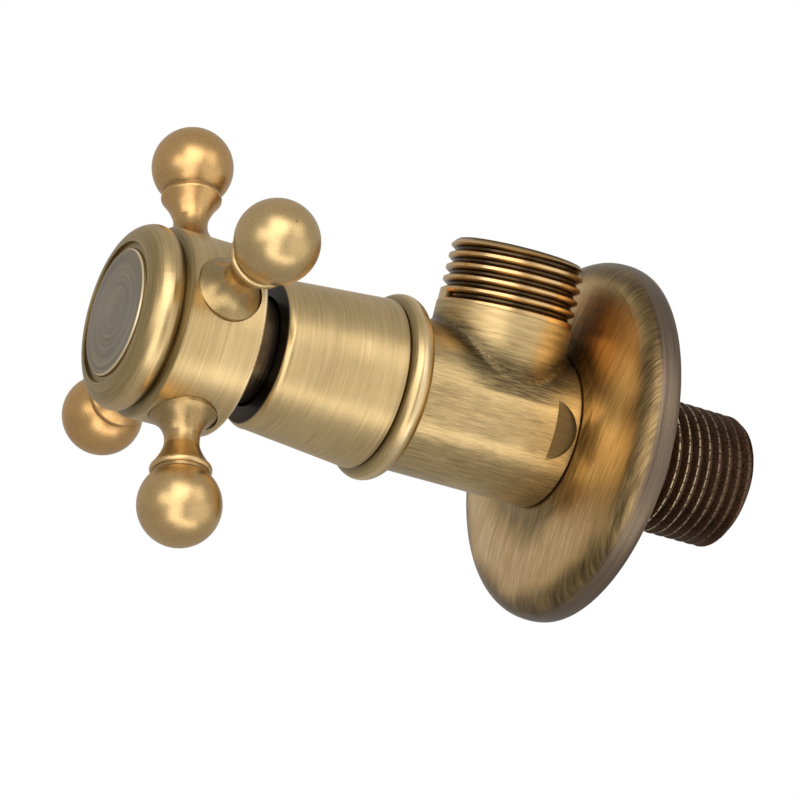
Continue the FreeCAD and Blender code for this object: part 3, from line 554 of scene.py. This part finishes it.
def carry_normals(source, finished):
    """Gives the cut mesh the shading normals of the uncut one; the walls of the cuts stay flat."""
    places = [vertex.co for vertex in source.vertices]
    tree = BVHTree.FromPolygons(places, [face.vertices for face in source.polygons])
    corner_normals = source.corner_normals
    normals = []
    for face in finished.polygons:
        _, _, index, distance = tree.find_nearest(face.center)
        old = source.polygons[index]
        kept = distance < SAME_FACE_DISTANCE and old.normal.dot(face.normal) > SAME_FACE_COSINE
        outline = [places[vertex] for vertex in old.vertices]
        for vertex in face.vertices:
            normal = face.normal.copy()
            if kept:
                shares = poly_3d_calc(outline, finished.vertices[vertex].co)
                corners = (corner_normals[loop].vector for loop in old.loop_indices)
                normal = sum((share * corner for share, corner in zip(shares, corners)), Vector())
            normals.append(normal.normalized())
    finished.normals_split_custom_set(normals)


def serrated_body():
    """The body with the grip serrations across its inlet thread crests, standing for the CAD body."""
    source = nodes["valve_body"]
    body = bpy.data.objects.new("valve_body_serrated", source.data.copy())
    bpy.context.collection.objects.link(body)
    cutter = serration_cutter(SERRATIONS, THREAD_START_Y * MM, THREAD_END_Y * MM)
    bpy.context.collection.objects.link(cutter)
    cut = body.modifiers.new("serrations", "BOOLEAN")
    cut.operation = "DIFFERENCE"
    cut.solver = "EXACT"
    cut.object = cutter
    bpy.context.view_layer.update()
    graph = bpy.context.evaluated_depsgraph_get()
    finished = bpy.data.meshes.new_from_object(body.evaluated_get(graph))
    body.modifiers.clear()
    body.data = finished
    carry_normals(source.data, finished)
    bpy.data.objects.remove(cutter)
    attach(body, "valve")
    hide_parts("valve_body")
    return body


body = serrated_body()
dress(body, body_brass("body_brass"))
dress(nodes["escutcheon"], flange_brass("flange_brass"))
dress(nodes["bonnet_sleeve"], turned_brass(
    "sleeve_brass", 0.72, dark_rings=((-36.9, 0.10, 1.0, 0.24), (-33.1, 0.10, 0.9, 0.26)),
    bright_rings=((-35.0, 0.2, 0.9, 0.18),), gunmetal_front=(-55.7, 11.0)))
dress(nodes["handle_hub"], turned_brass(
    "hub_brass", 0.72, dark_rings=((-73.7, 0.20, 1.5, 0.28), (-78.6, 0.6, 1.5, 0.20)),
    bright_rings=((-61.3, 0.2, 0.2, 0.20),)))
dress(nodes["index_button"], disc_brass("disc_brass"))
dress(nodes["stem_shroud"], dark_brass("shroud_brass", 0.15))
dress(nodes["cartridge_housing"], dark_brass("cartridge_brass", 0.22))
dress(nodes["spindle"], dark_brass("stem_brass", 0.24))
for number, (lathe_lines, copper_share) in enumerate(ARM_FINISH):
    arm_angle = math.radians(FIRST_ARM_ANGLE + 90 * number)
    material = arm_brass(f"arm_brass_{number + 1}", arm_angle, lathe_lines, copper_share)
    dress(nodes[f"handle_arm_{number + 1}"], material)

rubber = plain_grain("rubber", (0.010, 0.010, 0.011), (0.030, 0.030, 0.032), 3.0, 0.62)
ceramic = plain_grain("ceramic", (0.78, 0.77, 0.73), (0.90, 0.89, 0.86), 1.2, 0.28, depth_mm=0.003)
plastic = plain_grain("plastic", (0.74, 0.74, 0.70), (0.86, 0.86, 0.83), 1.0, 0.45, depth_mm=0.004)
steel = plain_grain("steel", (0.42, 0.42, 0.41), (0.62, 0.62, 0.61), 2.5, 0.32, 1.0)
FINISHES = {
    "housing_o_ring": rubber, "seat_gasket": rubber, "button_o_ring": rubber,
    "spindle_o_ring_lower": rubber, "spindle_o_ring_upper": rubber,
    "fixed_disc": ceramic, "rotating_disc": ceramic, "thrust_washer": plastic,
    "handle_screw": steel, "spring_washer": steel, "spindle_clip": steel,
}
for name, material in FINISHES.items():
    dress(nodes[name], material)


# ---------------------------------------------------------------- studio

VIEW_AZIMUTH = math.radians(64.70)
VIEW_ELEVATION = math.radians(-3.86)
VIEW_ROLL = math.radians(13.95)
VIEW_DISTANCE = 0.5231
AIM = Vector((4.25, -33.34, -1.39)) * MM
LENS = 159.28
SOFTBOX_DISTANCE = 0.75
SENSOR_WIDTH = 36.0
ROOM_IN_METAL = 0.50
BACKDROP_IN_METAL = 0.52
FLOOR_IN_METAL = 0.45


def direction(azimuth, elevation):
    """Unit vector from the object: azimuth 0 faces the front (-Y) and 90 degrees faces +X."""
    flat = math.cos(elevation)
    return Vector((math.sin(azimuth) * flat, -math.cos(azimuth) * flat, math.sin(elevation)))


def camera():
    data = bpy.data.cameras.new("camera")
    data.lens = LENS
    data.sensor_width = SENSOR_WIDTH
    data.clip_start = 0.01
    obj = bpy.data.objects.new("camera", data)
    towards = direction(VIEW_AZIMUTH, VIEW_ELEVATION)
    right = (-towards).cross(Vector((0, 0, 1))).normalized()
    up = right.cross(-towards)
    right_rolled = right * math.cos(VIEW_ROLL) + up * math.sin(VIEW_ROLL)
    up_rolled = up * math.cos(VIEW_ROLL) - right * math.sin(VIEW_ROLL)
    basis = Matrix((right_rolled, up_rolled, towards)).transposed().to_4x4()
    basis.translation = AIM + towards * VIEW_DISTANCE
    obj.matrix_world = basis
    bpy.context.collection.objects.link(obj)
    bpy.context.scene.camera = obj


def softbox(name, azimuth, elevation, width, height, brightness):
    """Rectangular light that faces the object from a given side, with an even brightness."""
    data = bpy.data.lights.new(name, "AREA")
    data.shape = "RECTANGLE"
    data.size = width
    data.size_y = height
    data.energy = brightness * math.pi * width * height
    obj = bpy.data.objects.new(name, data)
    towards = direction(math.radians(azimuth), math.radians(elevation))
    obj.location = AIM + towards * SOFTBOX_DISTANCE
    obj.rotation_euler = towards.to_track_quat("Z", "Y").to_euler()
    obj.visible_camera = False
    bpy.context.collection.objects.link(obj)


def studio_floor():
    """Wide pale floor well below the valve; the metal sees it as a calm grey."""
    mesh = bpy.data.meshes.new("floor")
    half, level = 2.5, -0.60
    corners = [(-half, -half, level), (half, -half, level), (half, half, level), (-half, half, level)]
    mesh.from_pydata(corners, [], [(0, 1, 2, 3)])
    floor = bpy.data.objects.new("floor", mesh)
    bpy.context.collection.objects.link(floor)
    g = material_graph("floor_paint")
    place = g.node("ShaderNodeTexCoord", 3)
    mottle = g.ramp(g.noise(place, 3.0, 2.0), [(0.3, (0.90, 0.90, 0.90)), (0.7, (0.94, 0.94, 0.94))])
    seen = g.node(
        "ShaderNodeBsdfPrincipled", Base_Color=mottle, Roughness=0.9, Emission_Color=(1, 1, 1, 1),
        Emission_Strength=0.75)
    mirrored = g.node("ShaderNodeEmission", Color=(1, 1, 1, 1), Strength=FLOOR_IN_METAL)
    choose = g.node("ShaderNodeMixShader", None)
    g.feed(choose.inputs[0], g.node("ShaderNodeLightPath"))
    g.feed(choose.inputs[1], mirrored)
    g.feed(choose.inputs[2], seen)
    g.node("ShaderNodeOutputMaterial", None, Surface=choose.outputs[0])
    mesh.materials.append(g.owner)


def surroundings():
    """White for the camera; what the metal mirrors is dimmer on the camera's side than behind."""
    g = Graph(bpy.data.worlds.new("studio"))
    ray = g.node("ShaderNodeTexCoord", 0)
    towards_camera = g.vector("DOT_PRODUCT", ray, tuple(direction(VIEW_AZIMUTH, 0)))
    behind = g.math("MULTIPLY", towards_camera, -1.0)
    strength = g.remap(behind, -0.3, 0.5, ROOM_IN_METAL, BACKDROP_IN_METAL)
    mirrored = g.node("ShaderNodeBackground", Color=(1, 1, 1, 1), Strength=strength)
    seen = g.node("ShaderNodeBackground", Color=(1, 1, 1, 1), Strength=1.0)
    choose = g.node("ShaderNodeMixShader", None)
    g.feed(choose.inputs[0], g.node("ShaderNodeLightPath"))
    g.feed(choose.inputs[1], mirrored)
    g.feed(choose.inputs[2], seen)
    g.node("ShaderNodeOutputWorld", None, Surface=choose.outputs[0])
    bpy.context.scene.world = g.owner


camera()
softbox("key", 60, 36, 0.62, 0.50, 2.30)
softbox("key_far", 118, 36, 0.40, 0.46, 1.10)
softbox("front", 42, 6, 0.90, 0.34, 1.60)
softbox("front_low", 60, -20, 0.44, 0.36, 1.50)
softbox("side", 125, -6, 0.90, 0.60, 0.55)
softbox("low", 90, -50, 1.10, 0.40, 1.80)
studio_floor()
surroundings()
bpy.context.scene.view_settings.view_transform = "Standard"
